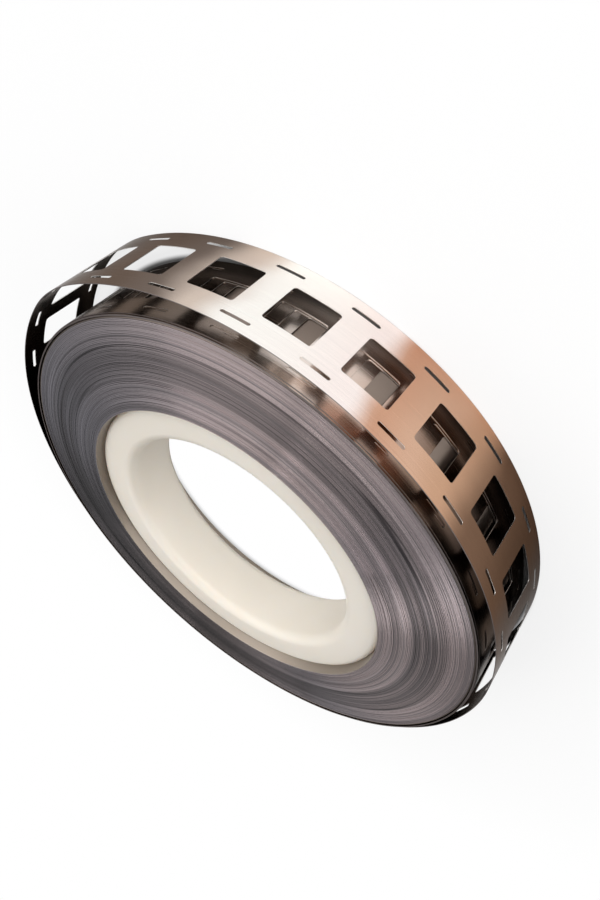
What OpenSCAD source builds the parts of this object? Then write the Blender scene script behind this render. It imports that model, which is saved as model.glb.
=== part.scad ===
// Roll of perforated nickel strip for joining pairs of cells, wound on a plastic core.
// Millimetres. The roll lies on its end with its axis along Z, and +Z is up.
// The origin is the middle of the core's bore.

/* [Strip] */
// Width of the strip
strip_w = 27; // [25:0.5:40]
// Thickness of the strip
strip_t = 0.2; // [0.1:0.05:0.3]
// Distance along the strip from one window to the next
pad_pitch = 20.25; // [18:0.25:26]
// Distance across the strip between the two rows of slots
row_spacing = 20.25; // [18:0.25:22]
// Side of the square windows
window_side = 12.75; // [8:0.25:14]
// Radius in the corners of the windows
window_corner_r = 0.8; // [0.3:0.1:3]
// Length of the slots between the windows
slot_len = 7.7; // [4:0.1:10]
// Width of the slots between the windows
slot_w = 1; // [0.5:0.1:2]
// Least length of plain strip between an opening and an end
end_land = 1; // [0.5:0.1:5]

/* [Coil] */
// Outer diameter of the tightly wound turns
coil_d = 153.5; // [130:0.5:200]
// Height of the middle of the innermost turn above the middle of the core
winding_lift = -1.7; // [-3:0.1:3]
// How far the innermost turns stand up above the outermost
telescope = 3; // [0:0.5:6]
// Number of bands of turns that show on each end
turn_bands = 18; // [6:1:30]
// How far a band of turns can stand out of line
band_relief = 0.3; // [0:0.05:0.8]
// How far the second tight turn lies above the outermost
turn_wander = 0.5; // [0.1:0.1:1]

/* [Core] */
// Diameter of the bore
bore_d = 76.2; // [60:0.1:80]
// Outer diameter of the core, which the strip is wound on
core_d = 100; // [95:1:115]
// Width of the core along its axis
core_w = 19; // [14:0.5:26]
// Radius on the edges of the bore
bore_edge_r = 3; // [1:0.5:5]
// Radius on the outer edges of the core
rim_edge_r = 2; // [0.5:0.5:3]

/* [Loose turn] */
// Direction in which the outer turn leaves the coil, counted from +X toward +Y
leave_angle = 128; // [0:1:359]
// How much larger than the coil the radius of the first stretch is
first_ease = 8; // [5:0.5:12]
// Angle that the first stretch turns through
first_sweep = 40; // [30:1:50]
// How much smaller than the coil the radius of the second stretch is
second_ease = 2; // [0:0.5:4]
// Angle that the second stretch turns through
second_sweep = 68; // [55:1:80]
// How much larger than the coil the radius of the slack stretch is
slack_ease = 13; // [8:0.5:18]
// Angle that the slack stretch turns through
slack_sweep = 60; // [50:1:70]
// Radius of the bend that takes up the slack
bend_r = 50; // [40:1:60]
// How much larger than the coil the radius of the stretch back to the coil is
back_ease = 8; // [6:0.5:12]
// Gap under the last stretch, which lies along the coil
lie_gap = 0.2; // [0.1:0.05:0.5]
// Angle by which the free end of the strip stops short of one whole turn
end_short = 16; // [10:1:40]
// Distance along the strip from where it leaves the coil to the middle of the first window
first_window = 40; // [36:0.25:60]

/* [Hidden] */
$fn = 120;
coil_r = coil_d / 2;
core_r = core_d / 2;
bore_r = bore_d / 2;
band_w = (coil_r - core_r) / turn_bands;
last_band = turn_bands - 1;
golden_turn = 137.5;
outer_z = band_shift(last_band);

// The loose turn starts below the surface of the coil, so that it grows out of it.
root_sink = 2 * strip_t;
first_r = coil_r + first_ease;
second_r = coil_r - second_ease;
slack_r = coil_r + slack_ease;
back_r = coil_r + back_ease;
lie_r = coil_r + lie_gap;

// Each stretch is an arc that carries on in line from the one before.
first_c = on_circle(coil_r - root_sink - first_r, leave_angle);
second_a = leave_angle + first_sweep;
second_c = first_c + on_circle(first_r - second_r, second_a);
slack_a = second_a + second_sweep;
slack_c = second_c + on_circle(second_r - slack_r, slack_a);
bend_a = slack_a + slack_sweep;
bend_c = slack_c + on_circle(slack_r - bend_r, bend_a);

// The stretch back to the coil is in line with both the bend and the last stretch.
back_to_axis = back_r - lie_r;
back_to_bend = back_r - bend_r;
bend_to_axis = norm(bend_c);
bend_way = bend_c / bend_to_axis;
back_along = (pow(bend_to_axis, 2) + pow(back_to_axis, 2) - pow(back_to_bend, 2)) / (2 * bend_to_axis);
back_across = sqrt(pow(back_to_axis, 2) - pow(back_along, 2));
back_c = back_along * bend_way + back_across * [bend_way[1], -bend_way[0]];
back_a = next_direction(bend_c - back_c, bend_a);
lie_a = next_direction(-back_c, back_a);

// Centre, inside radius, first and last direction of each stretch.
stretches = [
    [first_c, first_r, leave_angle, second_a],
    [second_c, second_r, second_a, slack_a],
    [slack_c, slack_r, slack_a, bend_a],
    [bend_c, bend_r, bend_a, back_a],
    [back_c, back_r, back_a, lie_a],
    [[0, 0], lie_r, lie_a, leave_angle + 360 - end_short]
];
last_stretch = len(stretches) - 1;
path_step = 2;
loose_len = length_to(last_stretch + 1);

// The pattern of openings runs on without a break from each turn to the next.
turn_len = 2 * PI * coil_r;
turn_shift = turn_len - floor(turn_len / pad_pitch) * pad_pitch;
root_rise = root_sink + strip_t;
root_len = sqrt(2 * root_rise * coil_r * first_r / first_ease);
window_reach = window_side / 2 + end_land;
slot_reach = slot_len / 2 + end_land;
cut_depth = window_side / 2;

function on_circle(r, a) = [r * cos(a), r * sin(a)];
function turned_past(d) = d - 360 * floor(d / 360);
function next_direction(v, a) = a + turned_past(atan2(v[1], v[0]) - a);
function stretch_len(s) = s[1] * (s[3] - s[2]) * PI / 180;
function length_to(i) = i == 0 ? 0 : length_to(i - 1) + stretch_len(stretches[i - 1]);
function stretch_at(d, i = 0) = i == last_stretch || d < length_to(i + 1) ? i : stretch_at(d, i + 1);
function steps_of(s) = ceil((s[3] - s[2]) / path_step);
function reversed(list) = [for (i = [len(list) - 1 : -1 : 0]) list[i]];
// One face of the loose turn, a distance out from the inside of the strip.
function loose_face(out) = [
    for (s = stretches, k = [0 : steps_of(s)])
        if (k > 0 || s == stretches[0])
            s[0] + on_circle(s[1] + out, s[2] + (s[3] - s[2]) * k / steps_of(s))
];
// How far a band of turns stands out of line, and where its middle lies along the axis.
function band_lean(i) = i == last_band ? 0 : band_relief * sin(i * golden_turn);
function band_shift(i) = winding_lift + band_lean(i) - telescope * i / last_band;

module window_shape() {
    inner = window_side - 2 * window_corner_r;
    square([inner, window_side], center = true);
    square([window_side, inner], center = true);
    for (x = [-1, 1], y = [-1, 1])
        translate([x, y] * inner / 2)
            circle(window_corner_r, $fn = 24);
}

module slot_shape() {
    straight = slot_len - slot_w;
    square([slot_w, straight], center = true);
    for (y = [-1, 1])
        translate([0, y * straight / 2])
            circle(d = slot_w, $fn = 24);
}

// A cutter through the strip, with X pointing out of the roll.
module punch() {
    rotate([0, 90, 0])
        linear_extrude(cut_depth, center = true)
            children();
}

module slot_pair() {
    for (side = [-1, 1])
        translate([0, 0, side * row_spacing / 2])
            punch()
                slot_shape();
}

// Puts a cutter on the loose turn, a distance along it from where it leaves the coil.
module on_loose_turn(d) {
    i = stretch_at(d);
    s = stretches[i];
    a = s[2] + (d - length_to(i)) / s[1] * 180 / PI;
    translate([s[0][0], s[0][1], outer_z])
        rotate(a)
            translate([s[1], 0, 0])
                children();
}

// Puts a cutter on the tight outer turn, a distance back from where the loose turn leaves it.
module on_coil(d) {
    translate([0, 0, outer_z])
        rotate(leave_angle - d / coil_r * 180 / PI)
            translate([coil_r, 0, 0])
                children();
}

module loose_openings() {
    for (d = [first_window : pad_pitch : loose_len - window_reach])
        if (d > root_len + window_reach)
            on_loose_turn(d)
                punch()
                    window_shape();
    for (d = [first_window - pad_pitch / 2 : pad_pitch : loose_len - slot_reach])
        if (d > root_len + slot_reach)
            on_loose_turn(d)
                slot_pair();
}

module coil_windows(turn) {
    shift = turn * turn_shift;
    for (d = [pad_pitch - first_window - shift : pad_pitch : turn_len - root_len - window_reach])
        if (d > window_reach)
            on_coil(d)
                translate([0, 0, turn * turn_wander])
                    punch()
                        window_shape();
}

module coil_slots() {
    for (d = [pad_pitch / 2 - first_window : pad_pitch : turn_len - root_len - slot_reach])
        if (d > slot_reach)
            on_coil(d)
                slot_pair();
}

// The outer skin of the coil, a number of turns deep.
module outer_turns(turns) {
    translate([0, 0, outer_z - strip_w / 2])
        rotate_extrude()
            translate([coil_r - turns * strip_t, 0])
                square([(turns + 1) * strip_t, strip_w]);
}

module coil_section() {
    front = [
        for (i = [0 : last_band], e = [0, 1])
            [core_r + (i + e) * band_w, strip_w / 2 + band_shift(i)]
    ];
    back = [
        for (i = [last_band : -1 : 0], e = [1, 0])
            [core_r + (i + e) * band_w, -strip_w / 2 + band_shift(i)]
    ];
    polygon(concat(front, back));
}

module coil() {
    difference() {
        rotate_extrude()
            coil_section();
        intersection() {
            outer_turns(1);
            union() {
                coil_windows(0);
                coil_slots();
            }
        }
        intersection() {
            outer_turns(2);
            coil_windows(0);
            coil_windows(1);
        }
    }
}

module loose_turn() {
    difference() {
        translate([0, 0, outer_z])
            linear_extrude(strip_w, center = true)
                polygon(concat(loose_face(0), reversed(loose_face(strip_t))));
        loose_openings();
    }
}

module nickel_strip() {
    color("silver") {
        coil();
        loose_turn();
    }
}

// Takes the square corner off a section, leaving it round.
module corner_off(r) {
    difference() {
        square(2 * r, center = true);
        translate([r, r])
            circle(r, $fn = 48);
    }
}

module core_section() {
    wall = core_r - bore_r;
    difference() {
        translate([bore_r, -core_w / 2])
            square([wall, core_w]);
        for (end = [0, 1])
            mirror([0, end]) {
                translate([bore_r, -core_w / 2])
                    corner_off(bore_edge_r);
                translate([core_r, -core_w / 2])
                    mirror([1, 0])
                        corner_off(rim_edge_r);
            }
    }
}

module core() {
    color("ivory")
        rotate_extrude()
            core_section();
}

nickel_strip();
core();
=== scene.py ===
"""Dresses a roll of perforated nickel strip and lays it in a plain studio."""
import logging
import math
import random
from dataclasses import dataclass, field
from enum import Enum
from typing import Callable, Sequence

import bpy
import numpy as np
from mathutils import Matrix, Vector


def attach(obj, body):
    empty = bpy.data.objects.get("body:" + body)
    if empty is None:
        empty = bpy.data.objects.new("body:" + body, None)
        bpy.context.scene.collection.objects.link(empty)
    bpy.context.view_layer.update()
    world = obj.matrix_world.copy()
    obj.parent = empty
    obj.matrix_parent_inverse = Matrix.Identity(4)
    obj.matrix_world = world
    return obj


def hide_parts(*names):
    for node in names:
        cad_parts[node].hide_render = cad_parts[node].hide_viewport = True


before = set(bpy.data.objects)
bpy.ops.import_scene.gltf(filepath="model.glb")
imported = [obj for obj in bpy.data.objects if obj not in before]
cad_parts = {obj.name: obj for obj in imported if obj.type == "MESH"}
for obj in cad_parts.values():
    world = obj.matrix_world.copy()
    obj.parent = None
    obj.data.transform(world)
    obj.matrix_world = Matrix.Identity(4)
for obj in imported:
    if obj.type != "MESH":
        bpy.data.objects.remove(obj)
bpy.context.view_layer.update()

log = logging.getLogger("nickel_roll")

MM = 0.001

WHITE = (1.0, 1.0, 1.0, 1.0)

Piece = bpy.types.Object
Socket = bpy.types.NodeSocket
Triple = tuple[float, float, float]
Colour = Triple
Point = tuple[float, float]


class Slot(Enum):
    """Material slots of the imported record."""

    NICKEL = "nickel"
    CORE = "core_plastic"


class Pick(Enum):
    """Kinds of mesh element that a selection can take, as Blender's select modes."""

    EDGES = (False, True, False)
    FACES = (False, False, True)


class Bench:
    """Operator calls that shape one piece at a time, in millimetres."""

    TOUCH = 0.001

    @staticmethod
    def clear() -> None:
        """Leaves edit mode and deselects everything."""
        if bpy.context.mode != "OBJECT":
            bpy.ops.object.mode_set(mode="OBJECT")
        bpy.ops.object.select_all(action="DESELECT")

    @staticmethod
    def take(piece: Piece) -> None:
        """Makes a piece the only selected object and the active one.

        Args:
            piece: The object to work on.
        """
        Bench.clear()
        piece.select_set(True)
        bpy.context.view_layer.objects.active = piece

    @staticmethod
    def block(size: Vector, middle: Vector) -> Piece:
        """Adds a block at its size and place, with both kept in its mesh.

        Args:
            size: Length, width and height.
            middle: Where its middle goes.

        Returns:
            The new object, selected and active.
        """
        Bench.clear()
        bpy.ops.mesh.primitive_cube_add(size=1.0, location=middle, scale=size)
        bpy.ops.object.transform_apply()
        return bpy.context.active_object

    @staticmethod
    def pick(piece: Piece, kind: Pick, wanted: Callable[..., bool]) -> None:
        """Enters edit mode with only the wanted edges or faces selected.

        Args:
            piece: The mesh object to select on.
            kind: Whether edges or faces are tested.
            wanted: Says of an edge's ends, or a face's middle and normal, if it is taken.
        """
        Bench.take(piece)
        bpy.ops.object.mode_set(mode="EDIT")
        bpy.context.tool_settings.mesh_select_mode = kind.value
        bpy.ops.mesh.select_all(action="DESELECT")
        bpy.ops.object.mode_set(mode="OBJECT")
        mesh = piece.data
        if kind is Pick.EDGES:
            for edge in mesh.edges:
                edge.select = wanted(*(mesh.vertices[i].co for i in edge.vertices))
        else:
            for face in mesh.polygons:
                face.select = wanted(face.center, face.normal)
        bpy.ops.object.mode_set(mode="EDIT")

    @staticmethod
    def modify(piece: Piece, kind: str, **settings: object) -> None:
        """Adds a modifier, sets it and applies it.

        Args:
            piece: The object that is changed.
            kind: Blender's name for the modifier.
            **settings: The modifier's own properties.
        """
        Bench.take(piece)
        bpy.ops.object.modifier_add(type=kind)
        modifier = piece.modifiers[-1]
        for name, value in settings.items():
            setattr(modifier, name, value)
        bpy.ops.object.modifier_apply(modifier=modifier.name)

    @staticmethod
    def join(pieces: Sequence[Piece]) -> Piece:
        """Joins several objects into one.

        Args:
            pieces: The objects, of which the first stays.

        Returns:
            The first object, with the meshes of all.
        """
        Bench.take(pieces[0])
        for piece in pieces:
            piece.select_set(True)
        bpy.ops.object.join()
        return pieces[0]

    @staticmethod
    def weld(piece: Piece, reach: float) -> None:
        """Merges points that lie close together.

        Args:
            piece: The object that is changed.
            reach: How far apart the points may be.
        """
        Bench.take(piece)
        bpy.ops.object.mode_set(mode="EDIT")
        bpy.ops.mesh.select_all(action="SELECT")
        bpy.ops.mesh.remove_doubles(threshold=reach)
        bpy.ops.object.mode_set(mode="OBJECT")

    @staticmethod
    def smooth(piece: Piece, degrees: float) -> None:
        """Shades a piece smooth, except over edges sharper than an angle."""
        Bench.take(piece)
        bpy.ops.object.shade_smooth_by_angle(angle=math.radians(degrees))

    @staticmethod
    def points(piece: Piece) -> np.ndarray:
        """Reads where a piece's points are.

        Args:
            piece: The mesh object.

        Returns:
            Rows of x, y and z.
        """
        flat = np.zeros(len(piece.data.vertices) * 3)
        piece.data.vertices.foreach_get("co", flat)
        return flat.reshape(-1, 3)

    @staticmethod
    def move_points(piece: Piece, points: np.ndarray) -> None:
        """Puts the piece's points at new places."""
        piece.data.vertices.foreach_set("co", points.astype(np.float32).ravel())
        piece.data.update()

    @staticmethod
    def turned(name: str, section: Sequence[Point], steps: int) -> Piece:
        """Turns a closed section round the Z axis.

        Args:
            name: Name of the piece.
            section: Points of radius and height, in order round the section.
            steps: Number of faces round the piece.

        Returns:
            The turned piece, closed and facing outwards.
        """
        Bench.clear()
        bpy.ops.mesh.primitive_plane_add(size=1.0)
        piece = bpy.context.active_object
        piece.name = piece.data.name = name
        bpy.ops.object.mode_set(mode="EDIT")
        bpy.context.tool_settings.mesh_select_mode = (True, False, False)
        bpy.ops.mesh.select_all(action="SELECT")
        bpy.ops.mesh.merge(type="CENTER")
        bpy.ops.transform.translate(value=(section[0][0], 0.0, section[0][1]))
        around = [*section[1:], section[0]]
        for (r0, z0), (r1, z1) in zip(section, around):
            bpy.ops.mesh.extrude_vertices_move(
                TRANSFORM_OT_translate={"value": (r1 - r0, 0.0, z1 - z0)}
            )
        bpy.ops.mesh.select_all(action="SELECT")
        bpy.ops.mesh.remove_doubles(threshold=Bench.TOUCH)
        bpy.ops.mesh.select_all(action="SELECT")
        bpy.ops.mesh.spin(
            steps=steps, angle=math.tau, center=(0.0, 0.0, 0.0), axis=(0.0, 0.0, 1.0)
        )
        bpy.ops.mesh.select_all(action="SELECT")
        bpy.ops.mesh.remove_doubles(threshold=Bench.TOUCH)
        bpy.ops.mesh.select_all(action="SELECT")
        bpy.ops.mesh.normals_make_consistent(inside=False)
        bpy.ops.object.mode_set(mode="OBJECT")
        return piece

    @staticmethod
    def to_metres(piece: Piece) -> None:
        """Brings a piece from millimetres to the frame's metres.

        Args:
            piece: The object that is scaled, in its mesh.
        """
        Bench.take(piece)
        piece.scale = (MM, MM, MM)
        bpy.ops.object.transform_apply()

    @staticmethod
    def coat(piece: Piece, material: bpy.types.Material) -> None:
        """Gives a piece one material all over."""
        piece.data.materials.clear()
        piece.data.materials.append(material)


class NodeBoard:
    """Places the nodes of one tree and joins their sockets."""

    def __init__(self, tree: bpy.types.NodeTree) -> None:
        """Starts on the tree of a material or a world, which is emptied."""
        self.tree = tree
        self.tree.nodes.clear()

    def join(self, out: Socket, into: Socket) -> None:
        """Links one socket to another."""
        self.tree.links.new(out, into)

    def node(self, kind: str, **settings: object) -> bpy.types.Node:
        """Adds a node.

        Args:
            kind: Blender's name for the node.
            **settings: The node's own properties.

        Returns:
            The new node.
        """
        made = self.tree.nodes.new(kind)
        for name, value in settings.items():
            setattr(made, name, value)
        return made

    def feed(self, socket: Socket, value: object) -> None:
        """Links a socket, or sets it where the value is plain.

        Args:
            socket: The socket that takes the value.
            value: Another socket, or a number or colour.
        """
        if isinstance(value, Socket):
            self.join(value, socket)
        else:
            socket.default_value = value

    def math(self, operation: str, *values: object) -> Socket:
        """Adds a Math node.

        Args:
            operation: Blender's name for what it does.
            *values: The sockets or plain numbers that it works on.

        Returns:
            The result's socket.
        """
        made = self.node("ShaderNodeMath", operation=operation)
        for socket, value in zip(made.inputs, values):
            self.feed(socket, value)
        return made.outputs[0]

    def vector(self, operation: str, value: Socket, other: Triple | None = None) -> Socket:
        """Adds a Vector Math node.

        Args:
            operation: Blender's name for what it does.
            value: The vector that it works on.
            other: A fixed second vector.

        Returns:
            The socket of the number or the vector that comes out.
        """
        made = self.node("ShaderNodeVectorMath", operation=operation)
        self.join(value, made.inputs[0])
        if other is not None:
            made.inputs[1].default_value = other
        to_number = operation in ("LENGTH", "DISTANCE", "DOT_PRODUCT")
        return made.outputs["Value" if to_number else "Vector"]

    def spread(
        self, value: Socket, span: Point, result: Point = (0.0, 1.0), ease: bool = True
    ) -> Socket:
        """Maps a span of values on to another span, clamped at its ends.

        Args:
            value: The socket that is mapped.
            span: Values that give the ends of the result.
            result: Ends of the result.
            ease: Whether the step is smooth.

        Returns:
            The mapped socket.
        """
        made = self.node(
            "ShaderNodeMapRange", interpolation_type="SMOOTHSTEP" if ease else "LINEAR"
        )
        names = ("From Min", "From Max", "To Min", "To Max")
        for name, number in zip(names, (*span, *result)):
            made.inputs[name].default_value = number
        self.join(value, made.inputs["Value"])
        return made.outputs["Result"]

    def bearing(self, way: Socket, angle: float) -> Socket:
        """Returns the cosine between a flat unit direction and an angle from +X."""
        turn = math.radians(angle)
        return self.vector("DOT_PRODUCT", way, (math.cos(turn), math.sin(turn), 0.0))

    def shown(self, to_camera: object, to_mirrors: object) -> Socket:
        """Says how much of the white background a ray meets.

        Args:
            to_camera: Share for a ray from the camera.
            to_mirrors: Share for a ray that metal or glass sends on.

        Returns:
            The share for any ray, which is 0 for a ray that only lights.
        """
        rays = self.node("ShaderNodeLightPath").outputs
        mirrored = self.math("MAXIMUM", rays["Is Glossy Ray"], rays["Is Transmission Ray"])
        return self.math(
            "MAXIMUM",
            self.math("MULTIPLY", rays["Is Camera Ray"], to_camera),
            self.math("MULTIPLY", mirrored, to_mirrors),
        )


class ShaderBoard(NodeBoard):
    """The nodes of one material, round its main shader."""

    def __init__(self, name: str) -> None:
        """Starts a material with its output and its main shader.

        Args:
            name: Name of the material.
        """
        self.material = bpy.data.materials.new(name)
        self.material.use_nodes = True
        super().__init__(self.material.node_tree)
        self.output = self.node("ShaderNodeOutputMaterial")
        self.shader = self.node("ShaderNodeBsdfPrincipled")
        self.join(self.shader.outputs["BSDF"], self.output.inputs["Surface"])

    def hold(self, name: str, value: object) -> None:
        """Sets a socket of the main shader to the same value all over."""
        self.shader.inputs[name].default_value = value

    def noise(
        self, place: Socket, waves: Triple, detail: float = 2.0, rough: float = 0.5
    ) -> Socket:
        """Returns noise from 0 to 1 on a place that is stretched first.

        Args:
            place: Coordinates to read.
            waves: Waves per unit along each axis.
            detail: Octaves of the noise.
            rough: How strong the finer octaves are.

        Returns:
            The noise value's socket.
        """
        mapped = self.node("ShaderNodeMapping")
        mapped.inputs["Scale"].default_value = waves
        self.join(place, mapped.inputs["Vector"])
        made = self.node("ShaderNodeTexNoise")
        made.inputs["Scale"].default_value = 1.0
        made.inputs["Detail"].default_value = detail
        made.inputs["Roughness"].default_value = rough
        self.join(mapped.outputs["Vector"], made.inputs["Vector"])
        return made.outputs["Fac"]

    def blend(self, share: Socket, first: object, second: object) -> Socket:
        """Mixes two colours.

        Args:
            share: Share of the second colour, from 0 to 1.
            first: A colour or its socket.
            second: A colour or its socket.

        Returns:
            The mixed colour's socket.
        """
        made = self.node("ShaderNodeMix", data_type="RGBA")
        self.join(share, made.inputs["Factor"])
        colours = [s for s in made.inputs if s.type == "RGBA"]
        for socket, colour in zip(colours, (first, second)):
            self.feed(socket, (*colour, 1.0) if isinstance(colour, tuple) else colour)
        return next(s for s in made.outputs if s.type == "RGBA")

    def tints(self, value: Socket, tints: Sequence["Tint"]) -> Socket:
        """Returns the colour at a distance along a series of tints.

        Args:
            value: Distance in millimetres.
            tints: The tones, in order of their distance.

        Returns:
            The colour's socket.
        """
        first, last = tints[0].at, tints[-1].at
        made = self.node("ShaderNodeValToRGB")
        ramp = made.color_ramp
        ramp.interpolation = "EASE"
        for tint in tints[1:-1]:
            ramp.elements.new((tint.at - first) / (last - first))
        for element, tint in zip(ramp.elements, tints):
            element.color = (*tint.colour, 1.0)
        self.join(self.spread(value, (first, last), ease=False), made.inputs["Fac"])
        return made.outputs["Color"]

    def scaled(self, colour: Socket, factor: Socket) -> Socket:
        """Makes a colour lighter or darker.

        Args:
            colour: The colour's socket.
            factor: What each of its channels is multiplied by.

        Returns:
            The new colour's socket.
        """
        made = self.node("ShaderNodeVectorMath", operation="SCALE")
        self.join(colour, made.inputs["Vector"])
        self.join(factor, made.inputs["Scale"])
        return made.outputs["Vector"]

    def relief(
        self, height: Socket, strength: float, depth: float, under: Socket | None = None
    ) -> Socket:
        """Returns a normal bumped by a height.

        Args:
            height: Height from 0 to 1.
            strength: How strongly it shows.
            depth: Depth of the full height, in metres.
            under: A normal that is bumped already.

        Returns:
            The new normal's socket.
        """
        made = self.node("ShaderNodeBump")
        made.inputs["Strength"].default_value = strength
        made.inputs["Distance"].default_value = depth
        self.join(height, made.inputs["Height"])
        if under is not None:
            self.join(under, made.inputs["Normal"])
        return made.outputs["Normal"]

    def brushed(self, amount: float) -> None:
        """Makes the shader a metal whose fine grain runs round the roll.

        Args:
            amount: How far the grain draws the gloss out, from 0 to 1.
        """
        self.hold("Metallic", 1.0)
        self.hold("Anisotropic", amount)
        self.hold("Anisotropic Rotation", 0.25)
        tangent = self.node("ShaderNodeTangent", direction_type="RADIAL", axis="Z")
        self.join(tangent.outputs[0], self.shader.inputs["Tangent"])

    def finish(self, colour: Socket, polish: Socket, normal: Socket) -> bpy.types.Material:
        """Joins what changes over the surface to the main shader.

        Args:
            colour: The base colour.
            polish: The roughness.
            normal: The bumped normal.

        Returns:
            The finished material.
        """
        for name, socket in (("Base Color", colour), ("Roughness", polish), ("Normal", normal)):
            self.join(socket, self.shader.inputs[name])
        return self.material


@dataclass(frozen=True)
class Tint:
    """One tone of painted reflection and painted shade on the strip, and how far along it lies,
    in millimetres.
    """

    at: float
    colour: Colour


@dataclass(frozen=True)
class StripFinish:
    """Bright rolled nickel whose tones along the strip are painted reflections and painted
    shade.
    """

    # Painted reflections and painted shade along the loose turn: copper, white and dark tones.
    loose: tuple[Tint, ...] = (
        Tint(0.5, (0.20, 0.18, 0.165)),
        Tint(36.0, (0.13, 0.115, 0.105)),
        Tint(68.0, (0.05, 0.043, 0.04)),
        Tint(92.0, (0.11, 0.09, 0.08)),
        Tint(108.0, (0.135, 0.08, 0.053)),
        Tint(124.0, (0.19, 0.11, 0.07)),
        Tint(137.0, (0.60, 0.36, 0.23)),
        Tint(145.0, (0.68, 0.43, 0.30)),
        Tint(156.0, (0.62, 0.35, 0.23)),
        Tint(163.0, (0.97, 0.87, 0.83)),
        Tint(192.0, (1.0, 0.97, 0.92)),
        Tint(202.0, (0.68, 0.57, 0.49)),
        Tint(214.0, (0.18, 0.145, 0.125)),
        Tint(228.0, (0.15, 0.115, 0.095)),
        Tint(246.0, (0.10, 0.088, 0.08)),
        Tint(256.0, (0.03, 0.028, 0.027)),
        Tint(325.0, (0.04, 0.037, 0.035)),
        Tint(375.0, (0.52, 0.48, 0.45)),
    )
    # Painted reflections and painted shade along each tight turn, repeated every turn.
    tight: tuple[Tint, ...] = (
        Tint(0.5, (0.20, 0.18, 0.165)),
        Tint(34.0, (0.03, 0.024, 0.021)),
        Tint(100.0, (0.035, 0.027, 0.023)),
        Tint(116.0, (0.06, 0.042, 0.034)),
        Tint(134.0, (0.28, 0.19, 0.14)),
        Tint(152.0, (0.64, 0.48, 0.40)),
        Tint(170.0, (0.84, 0.75, 0.69)),
        Tint(186.0, (0.28, 0.23, 0.20)),
        Tint(210.0, (0.15, 0.12, 0.10)),
        Tint(260.0, (0.06, 0.05, 0.045)),
        Tint(330.0, (0.06, 0.05, 0.045)),
        Tint(372.0, (0.24, 0.225, 0.21)),
        Tint(440.0, (0.24, 0.225, 0.21)),
        Tint(481.5, (0.20, 0.18, 0.165)),
    )
    cut: Colour = (0.75, 0.72, 0.69)
    slit: Colour = (0.20, 0.175, 0.17)
    gloss: Colour = (0.55, 0.50, 0.47)
    half_width: float = 13.5
    turn_length: float = 482.2
    thickness: float = 0.2
    streak_waves: Triple = (0.015, 2.6, 0.0)
    cloud_waves: Triple = (0.03, 0.05, 0.0)
    dent_waves: Triple = (0.05, 0.09, 0.0)
    wander: float = 14.0
    streak_tone: Point = (0.94, 1.04)
    polish: Point = (0.16, 0.28)
    cut_polish: float = 0.4
    streak_depth: float = 0.00004
    dent_depth: float = 0.0006

    def material(self) -> bpy.types.Material:
        """Builds the material on the strip's own run along and across it.

        Returns:
            The finished material.
        """
        board = ShaderBoard("rolled_nickel")
        run = board.node("ShaderNodeAttribute", attribute_name="run").outputs["Vector"]
        split = board.node("ShaderNodeSeparateXYZ")
        board.join(run, split.inputs[0])
        along, across, height = split.outputs
        streaks = board.noise(run, self.streak_waves, detail=4.0, rough=0.6)
        clouds = board.noise(run, self.cloud_waves)
        wander = board.math("MULTIPLY", board.math("SUBTRACT", clouds, 0.5), self.wander)
        in_turn = board.math("FLOORED_MODULO", along, self.turn_length)
        # The colour along the strip is painted reflection and painted shade, from the two lists
        # of tones.
        colour = board.blend(
            board.spread(along, (-2.0, 2.0)),
            board.tints(board.math("ADD", in_turn, wander), self.tight),
            board.tints(board.math("ADD", along, wander), self.loose),
        )
        tone = board.spread(streaks, (0.25, 0.75), self.streak_tone, ease=False)
        colour = board.scaled(colour, tone)
        top = self.thickness
        edge = board.math(
            "MULTIPLY",
            board.spread(height, (0.02, 0.04)),
            board.spread(height, (top - 0.04, top - 0.02), (1.0, 0.0)),
        )
        side = board.math("ABSOLUTE", across)
        slit = board.spread(side, (self.half_width - 0.06, self.half_width - 0.03))
        colour = board.blend(edge, colour, self.cut)
        colour = board.blend(slit, colour, self.slit)
        board.brushed(0.5)
        board.hold("Specular Tint", (*self.gloss, 1.0))
        bare = board.math("MULTIPLY", board.math("MAXIMUM", slit, edge), self.cut_polish)
        rolled = board.spread(streaks, (0.3, 0.7), self.polish, ease=False)
        dents = board.noise(run, self.dent_waves, detail=1.0)
        normal = board.relief(dents, strength=0.2, depth=self.dent_depth)
        normal = board.relief(streaks, 0.05, self.streak_depth, under=normal)
        return board.finish(colour, board.math("MAXIMUM", rolled, bare), normal)


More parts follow.
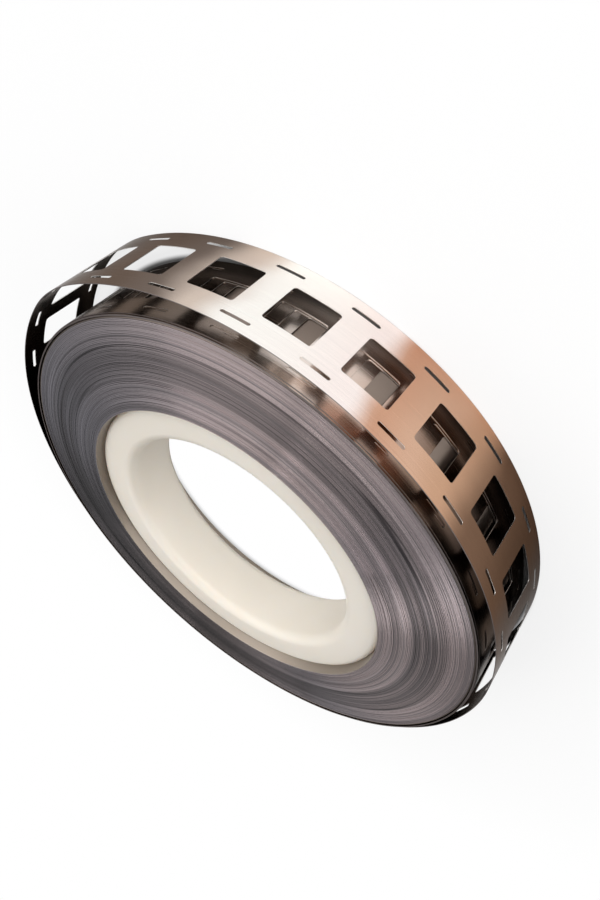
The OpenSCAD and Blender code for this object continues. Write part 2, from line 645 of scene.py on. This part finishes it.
@dataclass(frozen=True)
class TurnEdgeFinish:
    """Slit edges of many turns, which show as fine rings, with tones darkened as painted shade
    among the packed turns.
    """

    # The warm and cool tones mix by direction round the roll as a painted reflection.
    warm: Colour = (0.45, 0.38, 0.375)
    cool: Colour = (0.345, 0.33, 0.37)
    # Painted light on one side of the roll.
    painted_light_mauve: Colour = (0.62, 0.515, 0.515)
    deep: Colour = (0.17, 0.155, 0.165)
    gap: Colour = (0.03, 0.027, 0.03)
    # Painted reflection of the cream core on the innermost turn's inner wall.
    inside: Colour = (0.62, 0.55, 0.48)
    outside: Colour = (0.28, 0.225, 0.19)
    inner_r: float = 50.1
    outer_r: float = 75.6
    painted_reflection_angle: float = 252.0
    # Direction of the painted shade on one side of the roll.
    painted_shade_angle: float = 48.0
    # Direction and span of the painted light on one side of the roll.
    painted_light_angle: float = 170.0
    painted_light_span: Point = (0.6, 0.97)
    # Span and tone of the painted shade on one side of the roll.
    painted_shade_span: Point = (0.2, 0.95)
    painted_shade_tone: float = 0.27
    # Tone of the darker band among the grooves.
    dark_band_tone: float = 0.35
    grooves: Point = (58.5, 68.5)
    groove_fade: float = 2.0
    groove_faint: float = 0.25
    groove_width: float = 0.035
    lone_ring: float = 70.6
    lone_width: Point = (0.05, 0.16)
    line_waves: Triple = (3.6, 0.35, 0.35)
    band_waves: Triple = (0.45, 0.5, 0.5)
    groove_waves: Triple = (0.75, 0.22, 0.22)
    polish: Point = (0.19, 0.25)
    hole_polish: float = 0.85
    wall_polish: float = 0.5
    line_depth: float = 0.00004

    def metal(self, board: ShaderBoard, way: Socket, lines: Socket, bands: Socket) -> Socket:
        """Mixes the tones of the turns' edges, with a painted reflection and a painted light by
        direction.

        Args:
            board: The material's board.
            way: The unit direction from the roll's axis.
            lines: Noise of single turns.
            bands: Noise of bands of turns.

        Returns:
            The colour's socket.
        """
        # Warm and cool tones by direction round the roll are a painted reflection.
        painted_warm_reflection = board.math("POWER", board.bearing(way, self.painted_reflection_angle), 2.0)
        colour = board.blend(painted_warm_reflection, self.cool, self.warm)
        # Painted light: a lighter mauve on one side of the roll.
        painted_light = board.spread(board.bearing(way, self.painted_light_angle), self.painted_light_span)
        colour = board.blend(painted_light, colour, self.painted_light_mauve)
        shade = board.math(
            "ADD", board.math("MULTIPLY", lines, 0.6), board.math("MULTIPLY", bands, 0.4)
        )
        return board.blend(board.spread(shade, (0.36, 0.56), (0.75, 0.0)), colour, self.deep)

    def gaps(self, board: ShaderBoard, rings: Socket, radius: Socket) -> Socket:
        """Marks the dark gaps between turns.

        Args:
            board: The material's board.
            rings: Coordinates of radius and direction.
            radius: Distance from the roll's axis, in millimetres.

        Returns:
            How dark a place is, from 0 to 1.
        """
        inner, outer = self.grooves
        groove = board.noise(rings, self.groove_waves, detail=0.0)
        groove = board.math("ABSOLUTE", board.math("SUBTRACT", groove, 0.5))
        among = board.math(
            "MULTIPLY",
            board.spread(radius, (inner, inner + self.groove_fade), (self.groove_faint, 1.0)),
            board.spread(radius, (outer, outer + self.groove_fade), (1.0, self.groove_faint)),
        )
        many = board.math(
            "MULTIPLY", board.spread(groove, (0.0, self.groove_width), (1.0, 0.0)), among
        )
        lone = board.math("ABSOLUTE", board.math("SUBTRACT", radius, self.lone_ring))
        dark = board.math("MAXIMUM", many, board.spread(lone, self.lone_width, (0.8, 0.0)))
        return board.math("MULTIPLY", dark, 0.8)

    def painted_shade_and_band(self, board: ShaderBoard, way: Socket, radius: Socket) -> Socket:
        """Darkens one side of the roll as painted shade, and darkens the turns that stand among
        the grooves.

        Args:
            board: The material's board.
            way: The unit direction from the roll's axis.
            radius: Distance from the roll's axis, in millimetres.

        Returns:
            What the colour is multiplied by.
        """
        inner, outer = self.grooves
        half = self.groove_fade / 2
        # Painted shade: one side of the roll is darker.
        painted_shade = board.spread(
            board.bearing(way, self.painted_shade_angle), self.painted_shade_span, (1.0, self.painted_shade_tone)
        )
        dark_band = board.math(
            "MULTIPLY",
            board.spread(radius, (inner, inner + self.groove_fade), (0.0, self.dark_band_tone)),
            board.spread(radius, (outer - half, outer + half), (1.0, 0.0)),
        )
        return board.math("MULTIPLY", painted_shade, board.math("SUBTRACT", 1.0, dark_band))

    def material(self) -> bpy.types.Material:
        """Builds the material on the distance from the roll's axis and the way round it.

        Returns:
            The finished material.
        """
        board = ShaderBoard("turn_edges")
        place = board.node("ShaderNodeTexCoord").outputs["Object"]
        flat = board.vector("MULTIPLY", place, (1.0, 1.0, 0.0))
        radius = board.math("MULTIPLY", board.vector("LENGTH", flat), 1.0 / MM)
        way = board.vector("NORMALIZE", flat)
        around = board.node("ShaderNodeSeparateXYZ")
        board.join(way, around.inputs[0])
        polar = board.node("ShaderNodeCombineXYZ")
        sources = (radius, around.outputs["X"], around.outputs["Y"])
        for source, socket in zip(sources, polar.inputs):
            board.join(source, socket)
        rings = polar.outputs[0]
        lines = board.noise(rings, self.line_waves, detail=3.0, rough=0.7)
        bands = board.noise(rings, self.band_waves)
        colour = self.metal(board, way, lines, bands)
        colour = board.blend(self.gaps(board, rings, radius), colour, self.gap)
        # Painted shade on one side of the roll, and a darker band among the grooves.
        colour = board.scaled(colour, self.painted_shade_and_band(board, way, radius))
        hole = board.spread(radius, (self.inner_r + 0.05, self.inner_r + 0.2), (1.0, 0.0))
        wall = board.spread(radius, (self.outer_r - 0.4, self.outer_r - 0.3))
        # The innermost turn's inner wall takes a painted reflection of the cream core.
        colour = board.blend(hole, colour, self.inside)
        colour = board.blend(wall, colour, self.outside)
        board.brushed(1.0)
        polish = board.spread(bands, (0.3, 0.7), self.polish, ease=False)
        for mask, bare in ((hole, self.hole_polish), (wall, self.wall_polish)):
            polish = board.math("MAXIMUM", polish, board.math("MULTIPLY", mask, bare))
        normal = board.relief(lines, strength=0.14, depth=self.line_depth)
        return board.finish(colour, polish, normal)


@dataclass(frozen=True)
class CoreFinish:
    """Cream moulded plastic with a satin skin."""

    cream: Colour = (0.83, 0.777, 0.695)
    shadow: Colour = (0.79, 0.733, 0.645)
    cloud_waves: Triple = (22.0, 22.0, 40.0)
    grain_waves: Triple = (2200.0, 2200.0, 2200.0)
    polish: Point = (0.36, 0.46)
    grain_depth: float = 0.00003
    glow: float = 0.3
    glow_reach: Triple = (0.005, 0.004, 0.003)

    def material(self) -> bpy.types.Material:
        """Builds the material on the piece's place.

        Returns:
            The finished material.
        """
        board = ShaderBoard("core_plastic")
        place = board.node("ShaderNodeTexCoord").outputs["Object"]
        clouds = board.noise(place, self.cloud_waves)
        grain = board.noise(place, self.grain_waves)
        colour = board.blend(board.spread(clouds, (0.3, 0.75)), self.cream, self.shadow)
        board.hold("Subsurface Weight", self.glow)
        board.hold("Subsurface Radius", self.glow_reach)
        board.hold("Subsurface Scale", 1.0)
        polish = board.spread(clouds, (0.3, 0.7), self.polish, ease=False)
        normal = board.relief(grain, strength=0.08, depth=self.grain_depth)
        return board.finish(colour, polish, normal)


@dataclass(frozen=True)
class Stretch:
    """One arc of the loose turn, by the strip's inside face, in millimetres."""

    centre: Point
    radius: float
    start: float
    end: float

    @property
    def length(self) -> float:
        """Length along the inside face."""
        return self.radius * math.radians(self.end - self.start)


@dataclass
class WindingPath:
    """The way that the strip takes, counted along it from where it leaves the coil."""

    coil_r: float = 76.75
    turn_t: float = 0.2
    root_sink: float = 0.4
    leave_angle: float = 128.0
    first: Point = (8.0, 40.0)
    second: Point = (-2.0, 68.0)
    slack: Point = (13.0, 60.0)
    bend_r: float = 50.0
    back_ease: float = 8.0
    lie_gap: float = 0.2
    end_short: float = 16.0
    inset: float = 0.004
    outer_z: float = -4.7
    turn_wander: float = 0.5
    wander_share: float = 0.06
    stretches: list[Stretch] = field(default_factory=list)

    def __post_init__(self) -> None:
        """Lays the arcs one after another, each in line with the one before."""
        angle = self.leave_angle
        radius = self.coil_r + self.first[0]
        centre = self.along(angle) * (self.coil_r - self.root_sink - radius)
        for ease, sweep in (self.first, self.second, self.slack):
            wider = self.coil_r + ease
            centre = centre + self.along(angle) * (radius - wider)
            radius = wider
            self.stretches.append(Stretch(tuple(centre), radius, angle, angle + sweep))
            angle += sweep
        centre = centre + self.along(angle) * (radius - self.bend_r)
        back_r, lie_r = self.coil_r + self.back_ease, self.coil_r + self.lie_gap
        apart = centre.length
        way = centre / apart
        to_axis, to_bend = back_r - lie_r, back_r - self.bend_r
        reach = (apart**2 + to_axis**2 - to_bend**2) / (2 * apart)
        side = math.sqrt(to_axis**2 - reach**2)
        back = way * reach + Vector((way.y, -way.x)) * side
        back_a = self.next_angle(centre - back, angle)
        lie_a = self.next_angle(-back, back_a)
        self.stretches += [
            Stretch(tuple(centre), self.bend_r, angle, back_a),
            Stretch(tuple(back), back_r, back_a, lie_a),
            Stretch((0.0, 0.0), lie_r, lie_a, self.leave_angle + 360.0 - self.end_short),
        ]

    @staticmethod
    def along(angle: float) -> Vector:
        """Returns the unit vector at an angle from +X."""
        return Vector((math.cos(math.radians(angle)), math.sin(math.radians(angle))))

    @staticmethod
    def next_angle(way: Vector, angle: float) -> float:
        """Returns a vector's direction, as the first such angle past another."""
        return angle + (math.degrees(math.atan2(way.y, way.x)) - angle) % 360

    @property
    def loose_length(self) -> float:
        """Length of the loose turn to its free end."""
        return sum(s.length for s in self.stretches)

    @property
    def turn_length(self) -> float:
        """Length of one tight turn."""
        return math.tau * self.coil_r

    def lay(self, flat: np.ndarray) -> np.ndarray:
        """Lays points of the flat strip along the path.

        Args:
            flat: Rows of distance along, distance across and height above the inside face.

        Returns:
            Rows of x, y and z in millimetres.
        """
        along, across, out = flat.T
        angle = np.radians(self.leave_angle) + along / self.coil_r
        turns = np.minimum(along, 0.0) / self.turn_length
        radius = self.coil_r - self.root_sink + turns * self.turn_t
        x, y = np.zeros_like(along), np.zeros_like(along)
        before = 0.0
        for stretch in self.stretches:
            here = along >= before
            angle[here] = np.radians(stretch.start) + (along[here] - before) / stretch.radius
            radius[here] = stretch.radius
            x[here], y[here] = stretch.centre
            before += stretch.length
        step = np.clip((-turns - 1.0) / self.wander_share + 0.5, 0.0, 1.0)
        lift = self.turn_wander * step * step * (3 - 2 * step)
        x += (radius + out - self.inset) * np.cos(angle)
        y += (radius + out - self.inset) * np.sin(angle)
        return np.column_stack((x, y, across + self.outer_z + lift))


@dataclass
class OuterTurns:
    """The last turns of the strip, with their windows and slots punched right through."""

    path: WindingPath
    width: float = 27.0
    thickness: float = 0.2
    pitch: float = 20.25
    row_spacing: float = 20.25
    window_side: float = 12.75
    window_corner_r: float = 0.8
    slot_length: float = 7.7
    slot_width: float = 1.0
    first_window: float = 40.0
    tight_turns: int = 3
    pieces_per_pitch: int = 20
    corner_steps: int = 5
    edge_break: float = 0.03
    break_angle: float = 40.0
    punch_height: float = 2.0
    slot_rounding: float = 0.499
    joint_reach: float = 0.002
    smooth_angle: float = 30.0

    def punch(self, size: Point, corner: float, place: Point) -> Piece:
        """Makes a punch with rounded corners.

        Args:
            size: Length along the strip and across it.
            corner: Radius of its corners.
            place: Where it stands on the flat strip.

        Returns:
            The punch, taller than the strip is thick.
        """
        tool = Bench.block(
            Vector((*size, self.punch_height)), Vector((*place, self.thickness / 2))
        )
        tall = self.punch_height / 2
        Bench.pick(tool, Pick.EDGES, lambda a, b: abs(a.z - b.z) > tall)
        bpy.ops.mesh.bevel(offset=corner, segments=self.corner_steps, affect="EDGES")
        bpy.ops.object.mode_set(mode="OBJECT")
        return tool

    def unit(self, slotted: bool) -> Piece:
        """Makes one pitch of strip, from the middle of a window to the middle of the next.

        Args:
            slotted: Whether its bar has its two slots.

        Returns:
            The unit, open at both ends, with its edges broken.
        """
        piece = Bench.block(
            Vector((self.pitch, self.width, self.thickness)),
            Vector((0.0, 0.0, self.thickness / 2)),
        )
        Bench.pick(piece, Pick.EDGES, lambda a, b: abs(a.x - b.x) > self.pitch / 2)
        bpy.ops.mesh.subdivide(number_cuts=self.pieces_per_pitch - 1)
        bpy.ops.object.mode_set(mode="OBJECT")
        window = (self.window_side, self.window_side)
        tools = [
            self.punch(window, self.window_corner_r, (side * self.pitch / 2, 0.0))
            for side in (-1, 1)
        ]
        if slotted:
            slot = (self.slot_length, self.slot_width)
            corner = self.slot_width * self.slot_rounding
            tools += [
                self.punch(slot, corner, (0.0, side * self.row_spacing / 2)) for side in (-1, 1)
            ]
        tool = Bench.join(tools)
        Bench.modify(piece, "BOOLEAN", operation="DIFFERENCE", solver="EXACT", object=tool)
        bpy.data.objects.remove(tool)
        end = self.pitch / 2 - self.joint_reach
        Bench.pick(piece, Pick.FACES, lambda m, n: abs(m.x) > end and abs(n.x) > 0.9)
        bpy.ops.mesh.delete(type="FACE")
        bpy.ops.object.mode_set(mode="OBJECT")
        limit = {"limit_method": "ANGLE", "angle_limit": math.radians(self.break_angle)}
        Bench.modify(piece, "BEVEL", width=self.edge_break, segments=1, **limit)
        return piece

    def trim(self, piece: Piece, at: float, forward: bool) -> None:
        """Cuts the flat strip square across and closes the cut.

        Args:
            piece: The flat strip.
            at: Distance along the strip.
            forward: Whether the strip beyond the cut is the part that goes.
        """
        Bench.take(piece)
        bpy.ops.object.mode_set(mode="EDIT")
        bpy.ops.mesh.select_all(action="SELECT")
        bpy.ops.mesh.bisect(
            plane_co=(at, 0.0, 0.0),
            plane_no=(1.0, 0.0, 0.0),
            use_fill=True,
            clear_outer=forward,
            clear_inner=not forward,
        )
        bpy.ops.object.mode_set(mode="OBJECT")

    def build(self) -> Piece:
        """Makes the flat strip, then winds it and lays the loose turn over it.

        Returns:
            The wound strip, with its run along and across as an attribute.
        """
        start = -self.tight_turns * self.path.turn_length
        end = self.path.loose_length
        first_bar = self.first_window - self.pitch / 2
        low = math.floor((start - first_bar) / self.pitch)
        high = math.floor((end - first_bar) / self.pitch + 0.5)
        strip = self.unit(slotted=True)
        strip.name = strip.data.name = "outer_turns"
        Bench.modify(
            strip,
            "ARRAY",
            count=high - low,
            use_relative_offset=False,
            use_constant_offset=True,
            constant_offset_displace=(self.pitch, 0.0, 0.0),
            use_merge_vertices=True,
            merge_threshold=self.joint_reach,
        )
        tail = self.unit(slotted=False)
        for piece, count in ((strip, low), (tail, high)):
            points = Bench.points(piece)
            points[:, 0] += first_bar + count * self.pitch
            Bench.move_points(piece, points)
        strip = Bench.join([strip, tail])
        Bench.weld(strip, self.joint_reach)
        self.trim(strip, start, False)
        self.trim(strip, end, True)
        flat = Bench.points(strip)
        run = strip.data.attributes.new("run", "FLOAT_VECTOR", "POINT")
        run.data.foreach_set("vector", flat.astype(np.float32).ravel())
        Bench.move_points(strip, self.path.lay(flat) * MM)
        Bench.smooth(strip, self.smooth_angle)
        return strip

    def dress(self, piece: Piece, finish: StripFinish) -> None:
        """Gives the strip its finish and its place in the frame.

        Args:
            piece: What build() made.
            finish: The finish that it gets.
        """
        Bench.coat(piece, finish.material())
        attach(piece, "root")
        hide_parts("nickel_strip")


@dataclass
class WoundTurns:
    """The tightly wound turns, whose edges show as rings on both ends."""

    inner_r: float = 50.1
    outer_r: float = 75.6
    coil_r: float = 76.75
    core_r: float = 50.0
    half_width: float = 13.5
    lift: float = -1.7
    telescope: float = 3.0
    rings: int = 64
    groove: float = 0.16
    crest_share: Point = (0.72, 0.86)
    lean: float = 0.16
    lean_share: float = 0.6
    lean_kept: float = 0.75
    lean_limit: float = 0.25
    sway: float = 0.03
    sway_top: float = 1.6
    smooth_angle: float = 25.0
    steps: int = 160
    seed: int = 11

    @property
    def highest(self) -> float:
        """Height of the innermost turn's front edge."""
        return self.half_width + self.lift

    @property
    def lowest(self) -> float:
        """Height of the outermost turn's back edge."""
        return self.lift - self.telescope - self.half_width

    def middle(self, radius: float) -> float:
        """Returns how far the turns at a radius lie along the axis."""
        share = (radius - self.core_r) / (self.coil_r - self.core_r)
        return self.lift - self.telescope * share

    def section(self) -> list[Point]:
        """Draws the section, with a crest and a groove for each ring of turns.

        Returns:
            Points of radius and height, along the front and back again.
        """
        draw = random.Random(self.seed)
        step = (self.outer_r - self.inner_r) / self.rings
        drift = 0.0
        crests: list[Triple] = []
        for i in range(self.rings):
            start = self.inner_r + i * step
            end = start + step * draw.uniform(*self.crest_share)
            lean = draw.uniform(-1.0, 1.0) * self.lean * self.lean_share
            drift = self.lean_kept * drift + lean
            shift = self.middle((start + end) / 2) + min(drift, self.lean_limit)
            crests.append((start, end, shift))
        front: list[Point] = []
        back: list[Point] = []
        for (start, end, shift), after in zip(crests, [*crests[1:], None]):
            high = min(self.half_width + shift, self.highest)
            low = max(-self.half_width + shift, self.lowest)
            front += [(start, high), (end, high)]
            back += [(start, low), (end, low)]
            if after is not None:
                dip = min(high, self.half_width + after[2]) - self.groove
                rise = max(low, -self.half_width + after[2]) + self.groove
                middle = (end + after[0]) / 2
                front.append((middle, dip))
                back.append((middle, rise))
        return [*front, *reversed(back)]

    def build(self) -> Piece:
        """Turns the section and lets each ring wander a little along the axis.

        Returns:
            The turned piece.
        """
        piece = Bench.turned("wound_turns", self.section(), self.steps)
        points = Bench.points(piece)
        radius = np.hypot(points[:, 0], points[:, 1])
        angle = np.arctan2(points[:, 1], points[:, 0])
        sway = np.sin(2 * angle + 0.9 * radius) + 0.6 * np.sin(3 * angle - 1.7 * radius)
        points[:, 2] += self.sway * (sway - self.sway_top)
        points[:, 2] = np.clip(points[:, 2], self.lowest, self.highest)
        Bench.move_points(piece, points)
        Bench.to_metres(piece)
        Bench.smooth(piece, self.smooth_angle)
        return piece

    def dress(self, piece: Piece, finish: TurnEdgeFinish) -> None:
        """Gives the turns their finish and their place in the frame.

        Args:
            piece: What build() made.
            finish: The finish that it gets.
        """
        Bench.coat(piece, finish.material())
        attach(piece, "root")
        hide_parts("nickel_strip")


@dataclass
class CoreRing:
    """The moulded plastic ring that the strip is wound on."""

    bore_r: float = 38.1
    outer_r: float = 49.8
    width: float = 19.0
    bore_edge_r: float = 3.0
    bore_edge_steps: int = 8
    rim_edge_r: float = 2.0
    rim_edge_steps: int = 5
    smooth_angle: float = 30.0
    steps: int = 160

    def section(self) -> list[Point]:
        """Draws the section with its four rounded corners.

        Returns:
            Points of radius and height.
        """
        half = self.width / 2
        bore = (self.bore_edge_r, self.bore_edge_steps)
        rim = (self.rim_edge_r, self.rim_edge_steps)
        corners = [
            (self.bore_r, half, 1, -1, bore, 180),
            (self.outer_r, half, -1, -1, rim, 90),
            (self.outer_r, -half, -1, 1, rim, 0),
            (self.bore_r, -half, 1, 1, bore, -90),
        ]
        points: list[Point] = []
        for r, z, dr, dz, (rounding, count), first in corners:
            for i in range(count + 1):
                a = math.radians(first - 90 * i / count)
                across = r + dr * rounding + rounding * math.cos(a)
                points.append((across, z + dz * rounding + rounding * math.sin(a)))
        return points

    def build(self) -> Piece:
        """Turns the section.

        Returns:
            The ring.
        """
        piece = Bench.turned("core_ring", self.section(), self.steps)
        Bench.to_metres(piece)
        Bench.smooth(piece, self.smooth_angle)
        return piece

    def dress(self, piece: Piece, finish: CoreFinish) -> None:
        """Gives the ring its finish and its place in the frame.

        Args:
            piece: What build() made.
            finish: The finish that it gets.
        """
        Bench.coat(piece, finish.material())
        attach(piece, "root")
        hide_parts("core")


@dataclass(frozen=True)
class Lamp:
    """One soft lamp that points at the roll."""

    name: str
    place: Triple
    size: Point
    watts: float

    def hang(self) -> None:
        """Adds the lamp."""
        data = bpy.data.lights.new(self.name, "AREA")
        data.shape = "RECTANGLE"
        data.size, data.size_y = self.size
        data.energy = self.watts
        lamp = bpy.data.objects.new(self.name, data)
        bpy.context.scene.collection.objects.link(lamp)
        lamp.location = self.place
        lamp.rotation_mode = "QUATERNION"
        lamp.rotation_quaternion = (-Vector(self.place)).to_track_quat("-Z", "Y")


@dataclass
class Studio:
    """Camera, lamps, floor and surroundings."""

    eye: Triple = (-0.0830, -0.1681, 0.0960)
    right: Triple = (-0.828, 0.000, -0.561)
    up: Triple = (0.409, -0.683, -0.605)
    lens: float = 28.0
    sensor: float = 36.0
    clip: Point = (0.005, 50.0)
    floor_z: float = -0.0182
    floor_side: float = 12.0
    floor_tone: Colour = (0.93, 0.93, 0.93)
    # Painted shadow on the floor in the gap under the loose turn.
    painted_gap_shadow: Colour = (0.2, 0.2, 0.2)
    # Where the floor changes, by the distance from the roll's axis, or for the painted shadow
    # in the gap under the loose turn from that turn's own middle.
    bore_edge: Point = (0.052, 0.06)
    loose_middle: Triple = (0.0, -0.0022, 0.0)
    painted_gap_shadow_edge: Point = (0.0770, 0.0797)
    white_edge: Point = (0.0780, 0.0803)
    slack_edge: Point = (0.0768, 0.0785)
    slack_angle: float = 315.0
    slack_span: Point = (0.8, 0.93)
    shadow_edge: Point = (0.09, 0.2)
    shadow_white: float = 0.8
    mirror_edge: Point = (0.082, 0.12)
    dome: Triple = (0.406, 0.406, 0.819)
    dome_span: Point = (0.77, 0.97)
    room: Point = (0.09, 0.95)
    haze: Point = (0.04, 0.14)
    lamps: tuple[Lamp, ...] = (
        Lamp("key", (0.52, -0.24, 0.82), (0.9, 0.9), 5.0),
        Lamp("fill", (-0.76, -0.53, 0.37), (1.6, 0.65), 8.2),
        Lamp("front", (0.24, -0.90, 0.36), (1.6, 0.65), 5.8),
        Lamp("rim", (-0.02, 0.79, 0.61), (0.15, 0.15), 0.12),
        Lamp("back", (0.06, 0.864, 0.50), (0.25, 0.35), 0.13),
    )

    def camera(self) -> None:
        """Sets the camera where the photograph was taken from."""
        data = bpy.data.cameras.new("camera")
        data.lens = self.lens
        data.sensor_width = self.sensor
        data.clip_start, data.clip_end = self.clip
        camera = bpy.data.objects.new("camera", data)
        bpy.context.scene.collection.objects.link(camera)
        right = Vector(self.right).normalized()
        up = Vector(self.up)
        up = (up - right * up.dot(right)).normalized()
        back = right.cross(up)
        turn = Matrix((right, up, back)).transposed().to_4x4()
        camera.matrix_world = Matrix.Translation(self.eye) @ turn
        bpy.context.scene.camera = camera

    def floor(self) -> None:
        """Lays a pale floor with a painted shadow under the loose turn; it shows white further
        out, and as painted light in the bore and beside the slack.
        """
        Bench.clear()
        bpy.ops.mesh.primitive_plane_add(
            size=self.floor_side, location=(0.0, 0.0, self.floor_z)
        )
        floor = bpy.context.active_object
        floor.name = "floor"
        board = ShaderBoard("floor")
        board.hold("Roughness", 0.9)
        board.hold("Specular IOR Level", 0.0)
        place = board.node("ShaderNodeTexCoord").outputs["Object"]
        out = board.vector("LENGTH", place)
        off = board.vector("DISTANCE", place, self.loose_middle)
        # Inside the bore the floor shows white to the camera, painted light over its shade.
        bore = board.spread(out, self.bore_edge, (1.0, 0.0))
        # Painted shadow on the floor under the loose turn, kept out of the bore.
        lit = board.math("MAXIMUM", board.spread(off, self.painted_gap_shadow_edge), bore)
        tone = board.blend(lit, self.painted_gap_shadow, self.floor_tone)
        board.join(tone, board.shader.inputs["Base Color"])
        # Beside the slack of the loose turn the floor shows white to the camera, painted light
        # over its shade.
        turn = board.bearing(board.vector("NORMALIZE", place), self.slack_angle)
        slack = board.math(
            "MULTIPLY", board.spread(out, self.slack_edge), board.spread(turn, self.slack_span)
        )
        beside = board.math("MAXIMUM", slack, board.spread(off, self.white_edge))
        shadow = board.spread(out, self.shadow_edge, (self.shadow_white, 1.0))
        pale = board.math("MAXIMUM", board.math("MULTIPLY", beside, shadow), bore)
        white = board.node("ShaderNodeEmission")
        white.inputs["Color"].default_value = WHITE
        mixed = board.node("ShaderNodeMixShader")
        board.join(board.shown(pale, board.spread(out, self.mirror_edge)), mixed.inputs[0])
        board.join(board.shader.outputs["BSDF"], mixed.inputs[1])
        board.join(white.outputs[0], mixed.inputs[2])
        board.join(mixed.outputs[0], board.output.inputs["Surface"])
        floor.data.materials.append(board.material)

    def surroundings(self) -> None:
        """Makes a dim room with a soft dome, white to the camera and low down to metal."""
        world = bpy.data.worlds.new("studio")
        world.use_nodes = True
        board = NodeBoard(world.node_tree)
        way = board.node("ShaderNodeTexCoord").outputs["Generated"]
        toward = board.vector("DOT_PRODUCT", way, Vector(self.dome).normalized())
        light = board.spread(toward, self.dome_span, self.room)
        height = board.node("ShaderNodeSeparateXYZ")
        board.join(way, height.inputs[0])
        haze = board.spread(height.outputs["Z"], self.haze, (1.0, 0.0))
        shade = board.node("ShaderNodeBackground")
        shade.inputs["Color"].default_value = WHITE
        level = board.math("MAXIMUM", light, board.shown(1.0, haze))
        board.join(level, shade.inputs["Strength"])
        output = board.node("ShaderNodeOutputWorld")
        board.join(shade.outputs[0], output.inputs["Surface"])
        bpy.context.scene.world = world

    def build(self) -> None:
        """Sets up the whole studio."""
        bpy.context.scene.view_settings.view_transform = "Standard"
        self.camera()
        self.floor()
        self.surroundings()
        for lamp in self.lamps:
            lamp.hang()


def main() -> None:
    """Builds the studio and the pieces in order, and reports each."""
    logging.basicConfig(level=logging.INFO, format="%(message)s")
    Studio().build()
    for part, finish in (
        (CoreRing(), CoreFinish()),
        (WoundTurns(), TurnEdgeFinish()),
        (OuterTurns(WindingPath()), StripFinish()),
    ):
        piece = part.build()
        part.dress(piece, finish)
        triangles = sum(len(face.vertices) - 2 for face in piece.data.polygons)
        log.info("%s: %d triangles", piece.name, triangles)
    Bench.clear()


if __name__ == "__main__":
    main()
